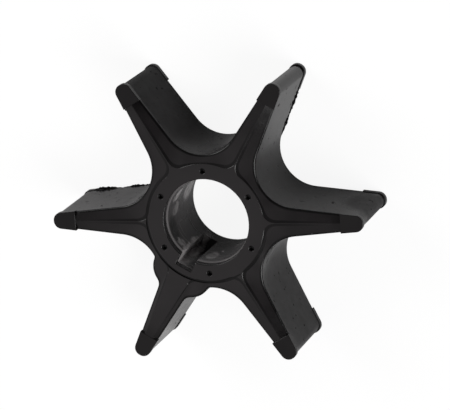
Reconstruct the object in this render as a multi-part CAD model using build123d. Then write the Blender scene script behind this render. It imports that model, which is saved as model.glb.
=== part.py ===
from build123d import *
from math import cos, hypot, radians, sin, tan
import os

# Flexible-vane water pump impeller: one rubber moulding bonded round a keyed drive bush.
# Millimetres. The bore axis is +Z, the origin lies on it in the rear end face, and the part
# rests on that face. +X runs through the keyway and the vane over it, and the keyway opens
# at the front end face, z = hub_length. Vanes, pads and relief are the same at both ends.

# Overall size
vane_count = 6
tip_radius = 33.2            # reached by the pads at the two ends of each vane tip
hub_length = 20.0            # between the end faces, which run against the pump's plates

# Drive bush and its keyway
bore_radius = 8.75
bore_chamfer = 0.25
bush_wall = 3.45
keyway_width = 3.4
keyway_depth = 2.4           # beyond the bore wall
keyway_end_wall = 3.2        # solid band that closes the keyway at the rear
lug_wall = 2.4               # thickness of the lug behind the keyway floor
lug_side_wall = 2.2          # and beside the keyway
lug_corner_radius = 0.8

# Rubber over the ends of the bush
front_cover = 1.6
rear_cover = 1.2
front_opening_clearance = 0.35
rear_opening_clearance = 0.2
keyway_opening_clearance = 0.1

# Rubber round the bush, down to the bottoms of the scoops between the vanes
hub_wall = 1.88
ring_margin = 0.2            # from the bush to the ring where the relief begins

# Vane, seen along the axis
vane_tip_thickness = 2.85    # between the pads, at tip_radius
vane_side_angle = 6.0        # lean of each side towards the tip, degrees
tip_roundness = 0.96         # 1 is a full half-round tip

# Pads left standing where a vane tip meets an end face
pad_length = 4.8             # from the tip towards the hub
pad_depth = 1.3              # along the axis
pad_tip_step = 0.3           # drop from a pad to the vane tip between the pads
pad_side_step = 0.15         # and to each side of the vane

# Relief of the end faces outside the hub ring
ring_step = 0.12             # drop at the ring and along the crest of each vane
edge_relief = 0.6            # drop at the outline of vanes, scoops and boss
edge_bevel = 0.3             # bevel of that outline
edge_land = 0.1              # level strip between that bevel and the slope
crest_width = 0.3
crest_blend = 2.2            # hollow between a crest and the hub ring
scoop_end_share = 0.2        # of a scoop's length, beside the hollow at either crest
roof_lap = 0.3               # how far the roof of a vane runs in under its pads

# Boss on the root of the vane over the keyway, round the lug of the bush
boss_cover = 3.55            # outside the lug
boss_side_cover = 2.55
boss_corner_radius = 4.7
boss_vane_blend = 2.0        # hollow between the boss and the sides of its vane
boss_scoop_blend = 0.8       # hollow between the boss and the root scoops

# Marks left by the pins that held the bush in the mould
pin_mark_radius = 0.55
pin_mark_inset = 1.4         # from the outside of the bush to their centres

vane_pitch = 360 / vane_count
side_angle = radians(vane_side_angle)
bush_radius = bore_radius + bush_wall
bush_front = hub_length - front_cover
keyway_floor = bore_radius + keyway_depth
keyway_rear = rear_cover + keyway_end_wall
lug_reach = keyway_floor + lug_wall
lug_width = keyway_width + 2 * lug_side_wall
boss_reach = lug_reach + boss_cover
boss_width = lug_width + 2 * boss_side_cover
root_radius = bush_radius + hub_wall
ring_radius = bush_radius + ring_margin
vane_reach = tip_radius - pad_tip_step
pad_start = tip_radius - pad_length
roof_reach = pad_start + roof_lap
roof_inset = edge_bevel + edge_land
edge_level = hub_length - edge_relief
crest_level = hub_length - ring_step


def half_thickness(distance, inset):
    """Half the vane's thickness at a distance from the axis, with its sides set in."""
    at_side = vane_tip_thickness / 2 + (tip_radius - distance) * tan(side_angle)
    return at_side - inset / cos(side_angle)


def scoop_radius(inset):
    """Radius of a scoop tangent to two vane sides, its bottom at the root radius."""
    half_pitch = radians(vane_pitch / 2)
    lean = sin(half_pitch + side_angle)
    bottom = root_radius - inset
    centre = (bottom - half_thickness(0, inset) * cos(side_angle)) / (1 - lean)
    return centre - bottom


def tapered_plan(reach, inset):
    """Plan of one vane along +X, from the axis to a square end."""
    root = half_thickness(0, inset)
    tip = half_thickness(reach, inset)
    return Polygon((0, -root), (reach, -tip), (reach, tip), (0, root), align=None)


def rounded_plan(reach, inset):
    """The same plan with its tip rounded over."""
    plan = tapered_plan(reach, inset)
    full_round = half_thickness(reach, inset) / tan(radians(45) - side_angle / 2)
    return fillet(plan.vertices().group_by(Axis.X)[-1], tip_roundness * full_round)


def around_hub(shape, start=0):
    """One copy of a shape for each vane, turned about the bore axis."""
    return [Rot(0, 0, start + i * vane_pitch) * shape for i in range(vane_count)]


def scooped_star(vane_plan, inset):
    """All vanes joined, with a root scoop hollowed in between each pair."""
    star = Sketch() + around_hub(vane_plan)
    roots = [v for v in star.vertices() if hypot(v.X, v.Y) < root_radius]
    return fillet(roots, scoop_radius(inset))


def boss_plan():
    """Plan of the keyway boss, from the axis to its rounded outer corners."""
    plan = Pos(boss_reach / 2, 0) * Rectangle(boss_reach, boss_width)
    return fillet(plan.vertices().group_by(Axis.X)[-1], boss_corner_radius)


def hollows_filled(plan, radius):
    """A plan with its hollow corners rounded, wherever its edges meet."""
    grown = offset(plan, amount=radius, kind=Kind.ARC)
    return offset(grown, amount=-radius, kind=Kind.ARC)


def body_plan():
    """Outline of hub, vanes and keyway boss, with the hollows beside the boss blended."""
    vane = rounded_plan(vane_reach, 0)
    keyed_vane = hollows_filled(vane + boss_plan(), boss_vane_blend)
    return hollows_filled(scooped_star(vane, 0) + keyed_vane, boss_scoop_blend)


def vane_body():
    """Hub, vanes and boss between the reliefs of the two ends, their outline bevelled."""
    body = Pos(0, 0, edge_relief) * extrude(body_plan(), edge_level - edge_relief)
    rims = body.edges().group_by(Axis.Z)
    return chamfer(rims[0] + rims[-1], edge_bevel)


def scoops_in_three(plan):
    """The same plan, with each scoop divided into its two ends and the hollow between."""
    edges = ShapeList()
    for edge in plan.edges():
        if edge.geom_type == GeomType.CIRCLE:
            ends = [edge.trim(0, scoop_end_share), edge.trim(1 - scoop_end_share, 1)]
            edges += ends + [edge.trim(scoop_end_share, 1 - scoop_end_share)]
        else:
            edges.append(edge)
    return make_face(edges)


def relief_roof():
    """Front end of the rubber: it falls from the crests and the hub ring to the outline."""
    rim = scoops_in_three(scooped_star(tapered_plan(roof_reach, roof_inset), roof_inset))
    crest = Pos(roof_reach / 2, 0) * Rectangle(roof_reach, crest_width)
    crests = Sketch() + Circle(ring_radius) + around_hub(crest)
    roots = [v for v in crests.vertices() if hypot(v.X, v.Y) < pad_start]
    crests = fillet(roots, crest_blend)
    sections = [Pos(0, 0, edge_level) * rim, Pos(0, 0, crest_level) * crests]
    return loft([section.face() for section in sections], ruled=True)


def tip_pads():
    """Front pads: thin slabs that stand proud of each vane tip on three sides."""
    clip_width = 2 * half_thickness(0, -pad_side_step)
    clip = Pos(pad_start + pad_length / 2, 0) * Rectangle(pad_length, clip_width)
    pad = extrude(rounded_plan(tip_radius, -pad_side_step) & clip, pad_depth)
    return around_hub(Pos(0, 0, hub_length - pad_depth) * pad)


def end_relief():
    """Everything that stands on the vane body at the front end."""
    return Part() + relief_roof() + tip_pads()


def hub_disc():
    """Round hub, flat at both ends inside the ring."""
    return extrude(Circle(ring_radius), hub_length)


def keyway_cutter(width, floor, bottom, top):
    """Straight-sided slot along +X, from the axis to a flat floor."""
    slot = Pos(floor / 2, 0) * Rectangle(floor, width)
    return Pos(0, 0, bottom) * extrude(slot, top - bottom)


def bush_envelope():
    """Outside of the drive bush: a sleeve with a rounded lug behind the keyway."""
    lug = Pos(lug_reach / 2, 0) * Rectangle(lug_reach, lug_width)
    lug = fillet(lug.vertices().group_by(Axis.X)[-1], lug_corner_radius)
    return Pos(0, 0, rear_cover) * extrude(Circle(bush_radius) + lug, bush_front - rear_cover)


def drive_bush():
    """Sleeve with a chamfered bore and a keyway that stops short of its rear end."""
    bush = bush_envelope() - extrude(Circle(bore_radius), hub_length)
    mouths = bush.edges().filter_by(GeomType.CIRCLE).filter_by(
        lambda edge: abs(edge.radius - bore_radius) < 0.001)
    bush = chamfer(mouths, bore_chamfer)
    return bush - keyway_cutter(keyway_width, keyway_floor, keyway_rear, hub_length)


def cover_openings():
    """Holes through the rubber at the ends: round at the rear, keyed at the front."""
    rear = extrude(Circle(bore_radius + rear_opening_clearance), rear_cover)
    front = extrude(Circle(bore_radius + front_opening_clearance), front_cover)
    slot_width = keyway_width + 2 * keyway_opening_clearance
    slot_floor = keyway_floor + keyway_opening_clearance
    slot = keyway_cutter(slot_width, slot_floor, bush_front, hub_length)
    return [rear, Pos(0, 0, bush_front) * front, slot]


def pin_marks():
    """Small round pits midway between the vanes, down to the end of the bush."""
    circle = bush_radius - pin_mark_inset
    pit = Pos(circle, 0, bush_front) * extrude(Circle(pin_mark_radius), front_cover)
    return around_hub(pit, vane_pitch / 2)


def rubber_moulding():
    """Hub, vanes and boss in one piece of rubber, hollow for the bush."""
    front = end_relief()
    rear = mirror(front, Plane.XY.offset(hub_length / 2))
    rubber = vane_body() + hub_disc() + front + rear
    rubber -= bush_envelope()
    for opening in cover_openings():
        rubber -= opening
    for pit in pin_marks():
        rubber -= pit
    return rubber


os.makedirs("parts", exist_ok=True)
export_step(rubber_moulding(), "parts/rubber_moulding.step")
export_step(drive_bush(), "parts/drive_bush.step")
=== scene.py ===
import random
from math import asin, atan2, cos, hypot, pi, radians, sin

import bmesh
import bpy
from mathutils import Matrix, Vector


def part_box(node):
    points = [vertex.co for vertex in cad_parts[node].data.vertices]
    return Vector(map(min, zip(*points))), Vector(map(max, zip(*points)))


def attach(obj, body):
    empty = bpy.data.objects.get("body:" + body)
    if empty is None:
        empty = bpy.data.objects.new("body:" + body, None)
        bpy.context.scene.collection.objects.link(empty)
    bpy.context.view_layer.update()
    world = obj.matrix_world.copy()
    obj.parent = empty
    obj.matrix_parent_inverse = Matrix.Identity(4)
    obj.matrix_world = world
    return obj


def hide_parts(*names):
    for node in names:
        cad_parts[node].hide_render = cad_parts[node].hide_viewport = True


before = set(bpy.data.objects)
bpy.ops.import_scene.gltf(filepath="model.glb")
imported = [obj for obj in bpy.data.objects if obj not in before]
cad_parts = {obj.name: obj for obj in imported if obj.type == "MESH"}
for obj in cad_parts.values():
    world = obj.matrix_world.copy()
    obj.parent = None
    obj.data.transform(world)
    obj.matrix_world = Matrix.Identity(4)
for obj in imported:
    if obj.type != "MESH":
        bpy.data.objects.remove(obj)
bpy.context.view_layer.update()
scene = bpy.context.scene
scene.view_settings.view_transform = "Standard"
mm = 0.001

# Rubber moulding. Black nitrile rubber, moulded in one shot round the drive bush: hub, six
# tapered vanes and the boss over the keyway. Both end faces are relieved towards the outline,
# so that only the hub, a fine crest along each vane and the pads at the tips meet the plates.

rubber_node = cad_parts["rubber_moulding"]
rear_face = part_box("rubber_moulding")[0].z
front_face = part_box("rubber_moulding")[1].z
mid_height = (rear_face + front_face) / 2
tip_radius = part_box("rubber_moulding")[1].x
bush_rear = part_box("drive_bush")[0].z
bush_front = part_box("drive_bush")[1].z
vane_pitch = radians(60)
hub_reach = 25 * mm              # every outline that stays inside it is a hole
same_point = 0.001 * mm          # closer points are one point
outline_gap = 0.03 * mm          # closer points of an outline are merged
outline_step = 0.9 * mm          # longer straight runs of an outline are divided
ring_radius = 12.4 * mm          # where the relief begins
ring_blend = 2.2 * mm            # hollow between the ring and a crest
ring_share = 0.8                 # of a scoop's slope, which begins on the ring
crest_half_width = 0.2 * mm
crest_height = 0.1 * mm          # of the raised line on ring and crests
crest_flanks = ((0.09 * mm, 0.7), (0.06 * mm, 0.3))   # widths, and shares of that height
keyed_half_width = 0.88 * mm     # the keyway vane has a flat top instead of a crest
keyed_taper = 0.105
edge_drop = 0.6 * mm             # of the relief, at the outline
rim_radius = 0.3 * mm            # of the rounded edge along the outline
rim_steps = 4
pad_length = 4.8 * mm
pad_depth = 1.3 * mm
pad_edge = 0.12 * mm
pad_gap = 0.06 * mm              # closer points of a pad's outline are merged
crest_end = tip_radius - pad_length + 0.5 * mm
crest_limit = tip_radius - 1.5 * mm    # under the pad, and past it no slope begins
root_end = 18.2 * mm             # where a root scoop runs out into the side of a vane
root_angle = radians(9.4)        # and its direction, seen from the axis


def section(node, height):
    """The outlines that a level plane cuts from a CAD node, as a mesh of edges."""
    cut = bmesh.new()
    cut.from_mesh(node.data)
    bmesh.ops.remove_doubles(cut, verts=cut.verts, dist=same_point)
    whole = cut.verts[:] + cut.edges[:] + cut.faces[:]
    bmesh.ops.bisect_plane(cut, geom=whole, dist=1e-7, plane_co=(0, 0, height),
                           plane_no=(0, 0, 1), clear_inner=True, clear_outer=True)
    return cut


def keep_outlines(cut, wanted):
    """Deletes the outlines whose farthest point from the axis fails a test."""
    left = set(cut.verts)
    while left:
        outline = {left.pop()}
        fresh = list(outline)
        while fresh:
            for e in fresh.pop().link_edges:
                for v in e.verts:
                    if v not in outline:
                        outline.add(v)
                        fresh.append(v)
        left -= outline
        if not wanted(max(hypot(v.co.x, v.co.y) for v in outline)):
            bmesh.ops.delete(cut, geom=list(outline), context="VERTS")


def raise_face(bm, face, height):
    """Draws a level face up to a height, and gives its new top."""
    made = bmesh.ops.extrude_face_region(bm, geom=[face])["geom"]
    bmesh.ops.delete(bm, geom=[face], context="FACES_ONLY")
    for v in made:
        if isinstance(v, bmesh.types.BMVert):
            v.co.z = height
    return next(f for f in made if isinstance(f, bmesh.types.BMFace))


def round_over(bm, face, radius, steps, outwards=1):
    """Rounds the edge round a level face in steps, inwards with 1 or outwards with -1."""
    for i in range(steps):
        a, b = i * pi / 2 / steps, (i + 1) * pi / 2 / steps
        bmesh.ops.inset_region(bm, faces=[face], use_even_offset=True,
                               thickness=outwards * radius * (cos(a) - cos(b)),
                               depth=radius * (sin(b) - sin(a)))


def close_ends(bm):
    """Fills the open ends of a mesh, and turns every face outwards."""
    open_edges = [e for e in bm.edges if len(e.link_faces) == 1]
    bmesh.ops.holes_fill(bm, edges=open_edges, sides=0)
    bmesh.ops.recalc_face_normals(bm, faces=bm.faces)


def place_at_vane(v):
    """A point's distance along the nearest vane, its distance across, and that vane's number."""
    direction = atan2(v.co.y, v.co.x)
    vane = round(direction / vane_pitch)
    r = hypot(v.co.x, v.co.y)
    turn = direction - vane * vane_pitch
    return r * cos(turn), r * sin(turn), vane


def crest_point(v):
    """Where the slope that ends at a point of the outline begins: on the ring or a crest."""
    along, across, vane = place_at_vane(v)
    root_width = crest_half_width
    if vane == 0:
        root_width = keyed_half_width + (crest_end - ring_radius - ring_blend) * keyed_taper
    lean = asin((root_width + ring_blend) / (ring_radius + ring_blend))
    blend_x = (ring_radius + ring_blend) * cos(lean)
    angle = abs(atan2(across, along))
    if angle > root_angle:
        share = (vane_pitch / 2 - angle) / (vane_pitch / 2 - root_angle)
        if share < ring_share:
            around = vane_pitch / 2 + (lean - vane_pitch / 2) * share / ring_share
            x, y = ring_radius * cos(around), ring_radius * sin(around)
        else:
            turn = lean + (pi / 2 - lean) * (share - ring_share) / (1 - ring_share)
            x = blend_x - ring_blend * cos(turn)
            y = root_width + ring_blend * (1 - sin(turn))
    else:
        x = blend_x + (along - root_end) * (crest_end - blend_x) / (crest_end - root_end)
        x = max(blend_x, min(x, crest_limit))
        y = crest_half_width
        if vane == 0:
            y = max(y, keyed_half_width + (crest_end - x) * keyed_taper)
    c, s = cos(vane * vane_pitch), sin(vane * vane_pitch)
    y = y if across >= 0 else -y
    return Vector((x * c - y * s, x * s + y * c, front_face - crest_height))


def mirrored_rear(bm):
    """Adds the rear half of a mesh, the front half turned over at mid height."""
    whole = bm.verts[:] + bm.edges[:] + bm.faces[:]
    other = bmesh.ops.duplicate(bm, geom=whole)["geom"]
    for v in other:
        if isinstance(v, bmesh.types.BMVert):
            v.co.z = 2 * mid_height - v.co.z
    bmesh.ops.reverse_faces(bm, faces=[f for f in other if isinstance(f, bmesh.types.BMFace)])


def as_object(bm, name):
    """Turns a bmesh into an object that stands in the scene."""
    mesh = bpy.data.meshes.new(name)
    bm.to_mesh(mesh)
    bm.free()
    piece = bpy.data.objects.new(name, mesh)
    scene.collection.objects.link(piece)
    return piece


# Front half of the body: the outline at mid height, drawn up, rounded over and sloped in.
body = section(rubber_node, mid_height)
keep_outlines(body, lambda reach: reach > hub_reach)
bmesh.ops.remove_doubles(body, verts=body.verts, dist=outline_gap)
for e in body.edges[:]:
    pieces = int(e.calc_length() / outline_step)
    if pieces > 1:
        bmesh.ops.subdivide_edges(body, edges=[e], cuts=pieces - 1)
top = bmesh.ops.contextual_create(body, geom=body.edges[:])["faces"][0]
top.normal_update()
if top.normal.z < 0:
    top.normal_flip()
top = raise_face(body, top, front_face - edge_drop - rim_radius)
round_over(body, top, rim_radius, rim_steps)

# The slope up to the ring and the crests, and the raised line on them.
top = raise_face(body, top, front_face - edge_drop)
crest = top.verts[:]
for v in crest:
    v.co = crest_point(v)
bmesh.ops.remove_doubles(body, verts=crest, dist=outline_gap)
top = max(body.faces, key=lambda f: len(f.verts))
for width, share in crest_flanks:
    bmesh.ops.inset_region(body, faces=[top], thickness=width, depth=crest_height * share,
                           use_even_offset=True)
for v in body.verts:
    on_crest = hypot(v.co.x, v.co.y) > ring_radius + ring_blend
    if on_crest and v.co.z > front_face - crest_height / 2:
        v.co.z -= crest_height / 2
mirrored_rear(body)
bmesh.ops.remove_doubles(body, verts=body.verts, dist=same_point)
moulding = as_object(body, "impeller_rubber")

# Pads: slabs at the vane tips, proud of the vane on three sides.
pad_skin = 0.05 * mm             # their outline is read this far under the end face
pads = section(rubber_node, front_face - pad_skin)
keep_outlines(pads, lambda reach: reach > hub_reach)
bmesh.ops.remove_doubles(pads, verts=pads.verts, dist=pad_gap)
for f in bmesh.ops.holes_fill(pads, edges=pads.edges[:], sides=0)["faces"]:
    raise_face(pads, f, front_face)
for v in pads.verts:
    if v.co.z < front_face - pad_skin / 2:
        v.co.z = front_face - pad_depth
bmesh.ops.holes_fill(pads, edges=[e for e in pads.edges if len(e.link_faces) == 1], sides=0)
level_edges = [e for e in pads.edges if abs(e.verts[0].co.z - e.verts[1].co.z) < 1e-7]
bmesh.ops.bevel(pads, geom=level_edges, offset=pad_edge, segments=3, profile=0.5,
                affect="EDGES", clamp_overlap=True, material=-1)
bmesh.ops.recalc_face_normals(pads, faces=pads.faces)
mirrored_rear(pads)
pads = as_object(pads, "tip_pads")

# Cavity that the bush fills, and the openings over its two ends with their rounded mouths.
cavity = section(rubber_node, mid_height)
keep_outlines(cavity, lambda reach: reach < hub_reach)
face = bmesh.ops.contextual_create(cavity, geom=cavity.edges[:])["faces"][0]
for v in cavity.verts:
    v.co.z = bush_rear
raise_face(cavity, face, bush_front)
close_ends(cavity)
cavity = as_object(cavity, "cavity")
mouth_radius = 0.16 * mm
mouth_steps = 3
opening_cut = 0.5 * mm           # the openings' outlines are read this far under an end face
opening_seat = 0.2 * mm          # how far an opening runs into the cavity
opening_rise = 1.0 * mm          # and past the end face
pin_mark_depth = 1.0 * mm
pin_mark_area = 2 * mm * mm      # a larger hole goes down to the bush


def opening(name, height, bottom, end_face):
    """A tool that cuts the holes through one end of the rubber and rounds their mouths."""
    cut = section(rubber_node, height)
    keep_outlines(cut, lambda reach: reach < ring_radius)
    out = 1 if end_face > bottom else -1
    for f in bmesh.ops.holes_fill(cut, edges=cut.edges[:], sides=0)["faces"]:
        floor = bottom if f.calc_area() > pin_mark_area else end_face - out * pin_mark_depth
        for v in f.verts:
            v.co.z = floor
        f.normal_update()
        if f.normal.z * out < 0:
            f.normal_flip()
        f = raise_face(cut, f, end_face - out * mouth_radius)
        round_over(cut, f, mouth_radius, mouth_steps, outwards=-1)
        raise_face(cut, f, end_face + out * opening_rise)
    close_ends(cut)
    return as_object(cut, name)


fronts = opening("front_openings", front_face - opening_cut, bush_front - opening_seat,
                 front_face)
rears = opening("rear_opening", rear_face + opening_cut, bush_rear + opening_seat, rear_face)

# Groove that the mould's split left between the hub face and the keyway vane.
groove_radius = 12.75 * mm
groove_depth = 0.36              # mm
groove_profile = ((-0.38, 0.3), (-0.28, 0), (-0.16, -groove_depth),
                  (0.12, -groove_depth), (0.24, 0), (0.34, 0.3))   # mm outwards, mm up
groove_start = radians(-72)
groove_sweep = radians(136)
groove_full = 0.7                # share of its length at full depth, before it runs out
groove = bmesh.new()
for r, z in groove_profile:
    groove.verts.new((groove_radius + r * mm, 0, front_face + z * mm))
bmesh.ops.contextual_create(groove, geom=groove.verts[:])
bmesh.ops.rotate(groove, verts=groove.verts, matrix=Matrix.Rotation(groove_start, 3, "Z"))
bmesh.ops.spin(groove, geom=groove.verts[:] + groove.edges[:] + groove.faces[:], axis=(0, 0, 1),
               cent=(0, 0, 0), angle=groove_sweep, steps=90)
for v in groove.verts:
    around = atan2(v.co.y, v.co.x) - groove_start - groove_sweep / 2
    share = abs(around) / (groove_sweep / 2)
    v.co.z += groove_depth * mm * max(0, share - groove_full) / (1 - groove_full)
bmesh.ops.remove_doubles(groove, verts=groove.verts, dist=same_point)
close_ends(groove)
groove = as_object(groove, "groove")


def apply_tools(piece, steps):
    """Cuts tools out of a piece or joins them to it, and removes them."""
    for tool, kind in steps:
        step = piece.modifiers.new(tool.name, "BOOLEAN")
        step.object = tool
        step.operation = kind
        step.solver = "EXACT"
    shown = piece.evaluated_get(bpy.context.evaluated_depsgraph_get())
    made = bpy.data.meshes.new_from_object(shown)
    piece.modifiers.clear()
    piece.data = made
    for tool, _ in steps:
        bpy.data.objects.remove(tool)


apply_tools(moulding, [(cavity, "DIFFERENCE"), (fronts, "DIFFERENCE"), (rears, "DIFFERENCE"),
                       (groove, "DIFFERENCE")])

# The pads stay closed shells of their own inside the piece, sunk into the vane tips.
whole = bmesh.new()
whole.from_mesh(moulding.data)
whole.from_mesh(pads.data)
whole.to_mesh(moulding.data)
whole.free()
bpy.data.objects.remove(pads)


def smooth_shading(piece, sharp):
    """Shades a piece smooth, apart from edges over an angle, and keeps its flat faces flat."""
    bm = bmesh.new()
    bm.from_mesh(piece.data)
    bmesh.ops.remove_doubles(bm, verts=bm.verts, dist=same_point)
    for f in bm.faces:
        f.smooth = True
    for e in bm.edges:
        e.smooth = len(e.link_faces) != 2 or e.calc_face_angle() < radians(sharp)
    bm.to_mesh(piece.data)
    bm.free()
    weight = piece.modifiers.new("flat_faces", "WEIGHTED_NORMAL")
    weight.keep_sharp = True


smooth_shading(moulding, sharp=32)
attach(moulding, "root")
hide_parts("rubber_moulding")


def add_node(tree, kind, inputs=None, **settings):
    """Adds a shader node with its settings; an input may be a value or another output."""
    made = tree.nodes.new("ShaderNode" + kind)
    for key, value in settings.items():
        setattr(made, key, value)
    for key, value in (inputs or {}).items():
        if isinstance(value, bpy.types.NodeSocket):
            tree.links.new(value, made.inputs[key])
        else:
            made.inputs[key].default_value = value
    return made


def noise(tree, place, scale, detail=3.0, rough=0.55):
    """Soft random clouds, from about 0.2 to 0.8."""
    made = add_node(tree, "TexNoise", {"Vector": place, "Scale": scale, "Detail": detail,
                                       "Roughness": rough})
    return made.outputs["Fac"]


def spread(tree, value, low, high, start=0.0, stop=1.0):
    """Stretches a value from start and stop to low and high, smoothly."""
    made = add_node(tree, "MapRange", {"Value": value, "From Min": start, "From Max": stop,
                                       "To Min": low, "To Max": high},
                    interpolation_type="SMOOTHSTEP")
    return made.outputs["Result"]


def work_out(tree, operation, *values):
    """The result of a sum on one, two or three values."""
    return add_node(tree, "Math", dict(enumerate(values)), operation=operation).outputs[0]


def blend(tree, share, under, over):
    """A colour that goes from one to another by a share."""
    made = add_node(tree, "Mix", {"Factor": share, "A": under, "B": over}, data_type="RGBA")
    return made.outputs["Result"]


def band(tree, value, rise, fall, most=1):
    """A value that rises to its most and falls again, over two stretches given in mm."""
    up = spread(tree, value, 0, most, rise[0] * mm, rise[1] * mm)
    down = spread(tree, value, 1, 0, fall[0] * mm, fall[1] * mm)
    return work_out(tree, "MULTIPLY", up, down)


rubber_black = (0.0075, 0.0067, 0.0070, 1)
rubber_faded = (0.0115, 0.0102, 0.0107, 1)
rubber_dusty = (0.019, 0.0175, 0.0178, 1)
rubber_rubbed = (0.0275, 0.0255, 0.0262, 1)
# The next colour is painted shade along the rims, the raised line and the groove, and darkens the
# tips.
painted_dark = (0.0015, 0.0014, 0.0014, 1)
rubbed_shift = (-4.6 * mm, 0.5 * mm, 0)     # the rubbed area is off centre on the hub,
rubbed_squeeze = (0.7, 1, 0)                # longer than it is wide,
rubbed_reach = (9 * mm, 24 * mm)            # and fades between these distances
rim_band = ((8.75, 8.95), (9.4, 9.47))      # mm up from mid height: where it rises, and falls
line_band = ((9.8, 9.84), (9.92, 9.96))
line_fade = (15 * mm, 27 * mm)              # from the axis
tip_fade = (25 * mm, 29 * mm)
groove_side = (0.24 * mm, 0.4 * mm)         # from the groove's middle
groove_top = (9.93 * mm, 9.99 * mm)         # up from mid height
groove_shade_fade = (-6 * mm, 0)                 # along x: the far ends of the groove get no painted shade
side_top = (8.7 * mm, 9.1 * mm)
dull_patches = (((-15, -23, 9), 13, 0.5), ((-17, 29, 9), 7, 0.3),
                ((9, 22, 9), 12, 0.25), ((-24, 4, 9), 13, -0.12))   # centre, size, more haze


def black_rubber():
    """Satin black rubber with a fine grain, faint waves from the mould, rubbed patches and painted
    shade.
    """
    material = bpy.data.materials.new("black_nitrile_rubber")
    material.use_nodes = True
    tree = material.node_tree
    shader = tree.nodes["Principled BSDF"]
    place = add_node(tree, "TexCoord").outputs["Object"]
    cloud = noise(tree, place, 110.0)
    bloom = noise(tree, place, 420.0, 5.0, 0.62)
    grain = noise(tree, place, 5200.0, 2.0)
    waves = noise(tree, place, 170.0, 1.0, 0.5)

    # Clouded black, dusty here and there, and rubbed grey round the bore.
    tone = blend(tree, spread(tree, cloud, 0, 1, 0.35, 0.7), rubber_black, rubber_faded)
    tone = blend(tree, spread(tree, bloom, 0, 0.5, 0.6, 0.85), tone, rubber_dusty)
    off_centre = add_node(tree, "Mapping", {"Vector": place, "Scale": rubbed_squeeze,
                                            "Location": rubbed_shift}).outputs["Vector"]
    away = add_node(tree, "VectorMath", {0: off_centre}, operation="LENGTH").outputs["Value"]
    tone = blend(tree, spread(tree, away, 0.5, 0, *rubbed_reach), tone, rubber_rubbed)

    # Painted shade along the rims, beside the raised line and in the groove; darker towards the
    # tips.
    apart = add_node(tree, "SeparateXYZ", {0: place}).outputs
    level = work_out(tree, "ABSOLUTE", work_out(tree, "SUBTRACT", apart["Z"], mid_height))
    flat = add_node(tree, "VectorMath", {0: place, 1: (1, 1, 0)}, operation="MULTIPLY")
    reach = add_node(tree, "VectorMath", {0: flat.outputs[0]}, operation="LENGTH").outputs["Value"]
    rim_shade = band(tree, level, *rim_band)
    raised_line_shade = band(tree, level, *line_band, most=0.8)
    raised_line_shade = work_out(tree, "MULTIPLY", raised_line_shade, spread(tree, reach, 1, 0.1, *line_fade))
    tips = spread(tree, reach, 0, 0.5, *tip_fade)
    off_groove = work_out(tree, "ABSOLUTE", work_out(tree, "SUBTRACT", reach, groove_radius))
    groove_shade = work_out(tree, "MULTIPLY", spread(tree, off_groove, 1, 0, *groove_side),
                         spread(tree, level, 1, 0, *groove_top))
    groove_shade = work_out(tree, "MULTIPLY", groove_shade,
                         spread(tree, apart["X"], 0, 1, *groove_shade_fade))
    dark = work_out(tree, "MAXIMUM", rim_shade, raised_line_shade)
    dark = work_out(tree, "MAXIMUM", dark, tips)
    dark = work_out(tree, "MAXIMUM", dark, groove_shade)
    tree.links.new(blend(tree, dark, tone, painted_dark), shader.inputs["Base Color"])

    # Duller patches and specks on the sides; the end faces stay even.
    haze = spread(tree, bloom, 0.16, 0.23, 0.3, 0.75)
    on_side = spread(tree, level, 1, 0, *side_top)
    for centre, size, more in dull_patches:
        away = add_node(tree, "VectorMath", {0: place, 1: Vector(centre) * mm},
                        operation="DISTANCE").outputs["Value"]
        dull = spread(tree, away, more, 0, size * mm * 0.7, size * mm * 1.3)
        haze = work_out(tree, "MULTIPLY_ADD", dull, on_side, haze)
    specks = spread(tree, noise(tree, place, 800.0, 1.0), 0, 0.5, 0.68, 0.76)
    haze = work_out(tree, "MULTIPLY_ADD", specks, on_side, haze)
    tree.links.new(haze, shader.inputs["Roughness"])

    swell = add_node(tree, "Bump", {"Height": waves, "Strength": 0.4, "Distance": 0.06 * mm})
    skin = add_node(tree, "Bump", {"Height": grain, "Strength": 0.08, "Distance": 0.008 * mm,
                                   "Normal": swell.outputs["Normal"]})
    tree.links.new(skin.outputs["Normal"], shader.inputs["Normal"])
    shader.inputs["IOR"].default_value = 1.38
    return material


rubber = black_rubber()
moulding.data.materials.clear()
moulding.data.materials.append(rubber)

# Flash. Thin ragged fins of the same rubber, squeezed out where the mould closed along the
# rear rims of two vanes, and a few nibs where the vents were trimmed off.

random.seed(7)
fin_height = 0.22 * mm
fin_seat = 0.12 * mm             # how far a fin is rooted in the vane
fin_least = 0.02 * mm            # and the least that it stands out
fin_step = 0.25                  # mm, between two points of its torn edge
fin_taper = 0.25                 # share of a fin over which either end runs out
torn_memory = 0.55               # how closely a point's reach follows the one before
fin_level = rear_face + edge_drop + 0.1 * mm
fins = ((5, 16.5, 24.0, 0.5), (5, 24.6, 31.5, 0.8),
        (3, 17.0, 31.0, 0.4))    # vane, start and stop along it and most reach, in mm
nibs = ((3, -1, 20.3, 0.9, 0.3), (3, -1, 24.1, 0.8, 0.26), (3, -1, 27.6, 0.9, 0.3),
        (5, -1, 26.0, 0.8, 0.26), (4, 1, 28.2, 18.9, 0.3),
        (1, -1, 17.4, 1.0, 0.34))    # vane, side, and along it, height and radius in mm
nib_squash = 0.7
vane_length = 33.2               # mm
vane_tip_half = 1.425            # mm, half the width at the tip
vane_taper = 0.1051


def vane_side(along, number, side):
    """A point on the side of a vane at a distance from the axis, and the way out from it."""
    half = (vane_tip_half + (vane_length - along) * vane_taper) * mm
    turn = Matrix.Rotation(number * vane_pitch, 3, "Z")
    return turn @ Vector((along * mm, side * half, 0)), turn @ Vector((0, side, 0))


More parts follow.
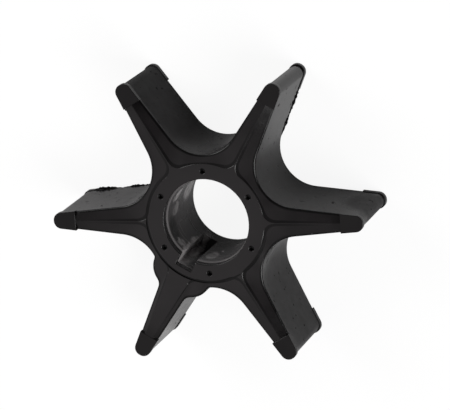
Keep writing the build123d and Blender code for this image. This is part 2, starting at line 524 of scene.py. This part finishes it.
def flash_fin(bm, number, side, start, stop, reach):
    """One fin along the side of a vane, its free edge torn to an uneven reach."""
    steps = int((stop - start) / fin_step)
    strip = bmesh.ops.create_grid(bm, x_segments=steps, y_segments=1, size=1)["verts"]
    strip.sort(key=lambda v: (round(v.co.x * steps), v.co.y))
    torn = 0.5
    for i in range(steps + 1):
        point, way = vane_side(start + (stop - start) * i / steps, number, side)
        point.z = fin_level
        taper = min(1, min(i, steps - i) / steps / fin_taper)
        torn = torn_memory * torn + (1 - torn_memory) * random.random()
        strip[2 * i].co = point - way * fin_seat
        strip[2 * i + 1].co = point + way * max(reach * mm * taper * torn, fin_least)
    faces = list(dict.fromkeys(f for v in strip for f in v.link_faces))
    made = bmesh.ops.extrude_face_region(bm, geom=faces)["geom"]
    for v in made:
        if isinstance(v, bmesh.types.BMVert):
            v.co.z += fin_height


flash = bmesh.new()
for number, start, stop, reach in fins:
    flash_fin(flash, number, -1, start, stop, reach)
for number, side, along, height, size in nibs:
    point, way = vane_side(along, number, side)
    point.z = height * mm
    nib = bmesh.ops.create_icosphere(flash, subdivisions=2, radius=size * mm)
    bmesh.ops.scale(flash, verts=nib["verts"], vec=(1, 1, nib_squash))
    bmesh.ops.translate(flash, verts=nib["verts"], vec=point)
bmesh.ops.recalc_face_normals(flash, faces=flash.faces)
flash = as_object(flash, "mould_flash")
smooth_shading(flash, sharp=40)
flash.data.materials.append(rubber)
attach(flash, "root")

# Drive bush. Sleeve of hard glossy plastic with a lug behind the keyway; the rubber is bonded
# to its outside. The shaft has polished its bore; pale and dark patches on it are painted
# reflections.

bore_radius = 8.75 * mm
bore_chamfer = 0.25 * mm
chamfer_knee = 0.08 * mm         # the chamfer at the front is slightly hollow
bush_radius = 12.2 * mm
keyway_width = 3.4 * mm
keyway_floor = 11.15 * mm
keyway_rear = 4.4 * mm
keyway_corner = 0.2 * mm
lug_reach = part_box("drive_bush")[1].x
lug_start = 11.6 * mm
lug_half = 3.9 * mm
lug_corner = 0.8 * mm

sleeve = bmesh.new()
profile = [(bush_radius, bush_rear), (bush_radius, bush_front),
           (bore_radius + bore_chamfer, bush_front),
           (bore_radius + chamfer_knee, bush_front - bore_chamfer * 0.6),
           (bore_radius, bush_front - bore_chamfer),
           (bore_radius, bush_rear + bore_chamfer),
           (bore_radius + bore_chamfer, bush_rear)]
ring = [sleeve.verts.new((r, 0, z)) for r, z in profile]
for i in range(len(ring)):
    sleeve.edges.new((ring[i], ring[(i + 1) % len(ring)]))
bmesh.ops.spin(sleeve, geom=sleeve.verts[:] + sleeve.edges[:], axis=(0, 0, 1), cent=(0, 0, 0),
               angle=2 * pi, steps=160, use_merge=True)
bmesh.ops.recalc_face_normals(sleeve, faces=sleeve.faces)
sleeve = as_object(sleeve, "keyed_bush")


def block(start, stop, half_width, rear, front):
    """A plain block that lies along the keyway's direction from the axis."""
    bm = bmesh.new()
    bmesh.ops.create_cube(bm, size=1)
    bmesh.ops.scale(bm, verts=bm.verts, vec=(stop - start, 2 * half_width, front - rear))
    bmesh.ops.translate(bm, verts=bm.verts, vec=((start + stop) / 2, 0, (rear + front) / 2))
    return bm


# The lug, rounded along its two outer upright edges.
lug = block(lug_start, lug_reach, lug_half, bush_rear, bush_front)
corners = [e for e in lug.edges if abs(e.verts[0].co.z - e.verts[1].co.z) > mm
           and e.verts[0].co.x > lug_reach - mm]
bmesh.ops.bevel(lug, geom=corners, offset=lug_corner, segments=6, profile=0.5,
                affect="EDGES", material=-1)
lug = as_object(lug, "lug")

# The keyway, rounded along its floor and where the floor meets the sides and the rear end.
slot = block(0, keyway_floor, keyway_width / 2, keyway_rear, front_face)
foot = [e for e in slot.edges if min(v.co.x for v in e.verts) > keyway_floor - mm / 2
        or max(v.co.z for v in e.verts) < keyway_rear + mm / 2]
foot = [e for e in foot if max(v.co.x for v in e.verts) > keyway_floor - mm / 2]
bmesh.ops.bevel(slot, geom=foot, offset=keyway_corner, segments=3, profile=0.5,
                affect="EDGES", material=-1)
slot = as_object(slot, "slot")

apply_tools(sleeve, [(lug, "UNION"), (slot, "DIFFERENCE")])
smooth_shading(sleeve, sharp=35)
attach(sleeve, "root")
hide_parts("drive_bush")


def bore_patch(tree, place, direction, height, width, length, low, high):
    """A soft patch on the bore, at a direction round the axis and a height along it."""
    a = radians(direction)
    centre = (bore_radius * cos(a), bore_radius * sin(a), height * mm)
    away = add_node(tree, "VectorMath", {0: place, 1: centre}, operation="SUBTRACT").outputs[0]
    across = add_node(tree, "VectorMath", {0: away, 1: (-sin(a), cos(a), 0)},
                      operation="DOT_PRODUCT").outputs["Value"]
    along = add_node(tree, "SeparateXYZ", {0: away}).outputs["Z"]
    x = work_out(tree, "DIVIDE", across, width * mm)
    z = work_out(tree, "DIVIDE", along, length * mm)
    x2 = work_out(tree, "MULTIPLY", x, x)
    return spread(tree, work_out(tree, "MULTIPLY_ADD", z, z, x2), high, low, 0.25, 1.0)


plastic_black = (0.06, 0.056, 0.0575, 1)
# The next colour is a painted dark reflection on the bore.
plastic_reflection_dark = (0.006, 0.006, 0.006, 1)
# The next colour is the pale of the painted reflections and of the painted light.
plastic_reflection_pale = (0.6, 0.575, 0.575, 1)
ragged = 2.2 * mm                    # how far the painted reflections' edges wander
turning_lines = (60, 60, 1500)       # fine across the bore's length, long round it
# The front mouth is lightened with painted light over this span.
mouth_light = (bush_front - 0.4 * mm, bush_front - 0.15 * mm)
dark_reflection_patch = (-33, 17.0, 3.2, 2.6)   # direction in degrees; height, half width and length in mm
# Pale patches of painted reflection; the small one at 33 degrees is a painted glint.
painted_reflections = ((-76, 6.6, 3.2, 3.6, 0.75), (-80, 15.2, 1.5, 2.8, 0.9), (-57, 14.2, 1.6, 2.4, 0.35),
          (-14, 16.8, 1.4, 1.9, 0.6), (26, 15.0, 1.5, 3.0, 0.9), (48, 7.4, 1.6, 2.6, 0.5),
          (33, 11.6, 0.35, 0.5, 1.0), (0, 13.0, 1.65, 11.5, 1.0))   # the same, and strength


def glossy_plastic():
    """Hard black plastic, polished where the shaft slides, with painted reflections and fine
    lines.
    """
    material = bpy.data.materials.new("polished_black_plastic")
    material.use_nodes = True
    tree = material.node_tree
    shader = tree.nodes["Principled BSDF"]
    place = add_node(tree, "TexCoord").outputs["Object"]
    ripple = noise(tree, place, 330.0, 4.0, 0.6)
    warp = add_node(tree, "VectorMath", {0: ripple, 1: (ragged, ragged, ragged)},
                    operation="MULTIPLY").outputs[0]
    moved = add_node(tree, "VectorMath", {0: place, 1: warp}, operation="ADD").outputs[0]

    # Painted reflections with a broken edge, painted light round the front mouth and a darker
    # painted reflection.
    painted_light = 0.0
    for *patch, strength in painted_reflections:
        painted_light = work_out(tree, "MAXIMUM", painted_light, bore_patch(tree, moved, *patch, 0, strength))
    painted_light = work_out(tree, "MULTIPLY", painted_light, spread(tree, ripple, 0.35, 1.0, 0.35, 0.6))
    height = add_node(tree, "SeparateXYZ", {0: place}).outputs["Z"]
    painted_light = work_out(tree, "MAXIMUM", painted_light, spread(tree, height, 0, 0.16, *mouth_light))
    tone = blend(tree, bore_patch(tree, moved, *dark_reflection_patch, 0, 0.85), plastic_black, plastic_reflection_dark)
    tone = blend(tree, painted_light, tone, plastic_reflection_pale)
    tree.links.new(tone, shader.inputs["Base Color"])

    lines = add_node(tree, "Mapping", {"Vector": place, "Scale": turning_lines})
    lines = noise(tree, lines.outputs["Vector"], 1.0, 3.0)
    tree.links.new(spread(tree, lines, 0.22, 0.28, 0.3, 0.7), shader.inputs["Roughness"])
    bump = add_node(tree, "Bump", {"Height": ripple, "Strength": 0.3, "Distance": 0.05 * mm})
    tree.links.new(bump.outputs["Normal"], shader.inputs["Normal"])
    shader.inputs["IOR"].default_value = 1.5
    return material


sleeve.data.materials.clear()
sleeve.data.materials.append(glossy_plastic())

# Floor. A plain pale table top just under the impeller. It shows almost white and keeps the
# impeller's soft shadow, and the rubber's sides mirror it.

table_reach = 1.5                # metres each way from the axis
table_gap = 0.2 * mm             # under the impeller
table = bmesh.new()
bmesh.ops.create_grid(table, x_segments=1, y_segments=1, size=table_reach)
bmesh.ops.translate(table, verts=table.verts, vec=(0, 0, rear_face - table_gap))
table = as_object(table, "table_top")
paint = bpy.data.materials.new("pale_table")
paint.use_nodes = True
tree = paint.node_tree
tree.nodes.clear()


def table_look(shade, glow):
    """The table as one kind of ray meets it: how much it shades and how much it glows."""
    matt = add_node(tree, "BsdfDiffuse", {"Color": (shade, shade, shade, 1)})
    light = add_node(tree, "Emission", {"Strength": glow})
    return add_node(tree, "AddShader", {0: matt.outputs[0], 1: light.outputs[0]}).outputs[0]


ray = add_node(tree, "LightPath").outputs
lighting = table_look(shade=0.8, glow=0.0)
mirrored = table_look(shade=0.62, glow=0.06)
in_view = table_look(shade=0.12, glow=0.9)
unseen = add_node(tree, "MixShader", {0: ray["Is Glossy Ray"], 1: lighting, 2: mirrored})
surface = add_node(tree, "MixShader", {0: ray["Is Camera Ray"], 1: unseen.outputs[0],
                                       2: in_view})
add_node(tree, "OutputMaterial", {"Surface": surface.outputs[0]})
table.data.materials.append(paint)

# Studio. A pale room that shows white, dimmer towards the camera's side and brighter straight
# across from it, with one soft lamp on the right and one on the left.

room = bpy.data.worlds.new("studio")
scene.world = room
room.use_nodes = True
tree = room.node_tree
direction = add_node(tree, "TexCoord").outputs["Generated"]


def aim(azimuth, elevation):
    """The direction from the impeller to a place in the room, in degrees."""
    az, el = radians(azimuth), radians(elevation)
    return Vector((cos(el) * cos(az), cos(el) * sin(az), sin(el)))


def toward(azimuth, elevation, near, far, low, high):
    """A value that goes from low to high as a direction comes near the one given."""
    dot = add_node(tree, "VectorMath", {0: direction, 1: aim(azimuth, elevation)},
                   operation="DOT_PRODUCT").outputs["Value"]
    return spread(tree, dot, low, high, cos(radians(far)), cos(radians(near)))


room_light = toward(159, 58, near=26, far=54, low=0.3, high=0.03)
overhead = toward(339, 67, near=4, far=26, low=0.0, high=0.16)
far_wall = toward(330, 5, near=20, far=60, low=0.0, high=0.25)
glow = work_out(tree, "ADD", room_light, far_wall)
glow = work_out(tree, "ADD", glow, overhead)
walls = tree.nodes["Background"]
walls.inputs["Color"].default_value = (1, 0.965, 0.975, 1)
tree.links.new(glow, walls.inputs["Strength"])
white = add_node(tree, "Background", {"Color": (1, 1, 1, 1), "Strength": 1.0})
seen = add_node(tree, "LightPath").outputs["Is Camera Ray"]
backdrop = add_node(tree, "MixShader", {0: seen, 1: walls.outputs[0], 2: white.outputs[0]})
tree.links.new(backdrop.outputs[0], tree.nodes["World Output"].inputs["Surface"])


def soft_lamp(name, azimuth, elevation, distance, size, power):
    """A square lamp at a distance in metres, turned to the impeller."""
    place = aim(azimuth, elevation) * distance
    lamp = bpy.data.lights.new(name, "AREA")
    lamp.size = size
    lamp.energy = power
    stand = bpy.data.objects.new(name, lamp)
    turn = place.to_track_quat("Z", "Y").to_matrix().to_4x4()
    stand.matrix_world = Matrix.Translation(place) @ turn
    scene.collection.objects.link(stand)


soft_lamp("lamp_right", 93, 52, distance=1.0, size=0.5, power=6)
soft_lamp("lamp_left", 262, 32, distance=1.0, size=0.5, power=4.4)

# Camera. It stands 0.66 m from the impeller, on the side away from the keyway, and looks
# steeply down on the front face.

camera_place = (-0.236967, 0.089364, 0.611915)
camera_right = Vector((-0.4190274, 0.86007803, -0.29100141))
camera_up = Vector((-0.83317206, -0.49160991, -0.25326669))
eye = bpy.data.cameras.new("camera")
eye.sensor_width = 36
eye.lens = 251.86
eye.clip_start = 0.05
eye.clip_end = 10
camera = bpy.data.objects.new("camera", eye)
scene.collection.objects.link(camera)
turn = Matrix((camera_right, camera_up, camera_right.cross(camera_up))).transposed().to_4x4()
camera.matrix_world = Matrix.Translation(camera_place) @ turn
scene.camera = camera
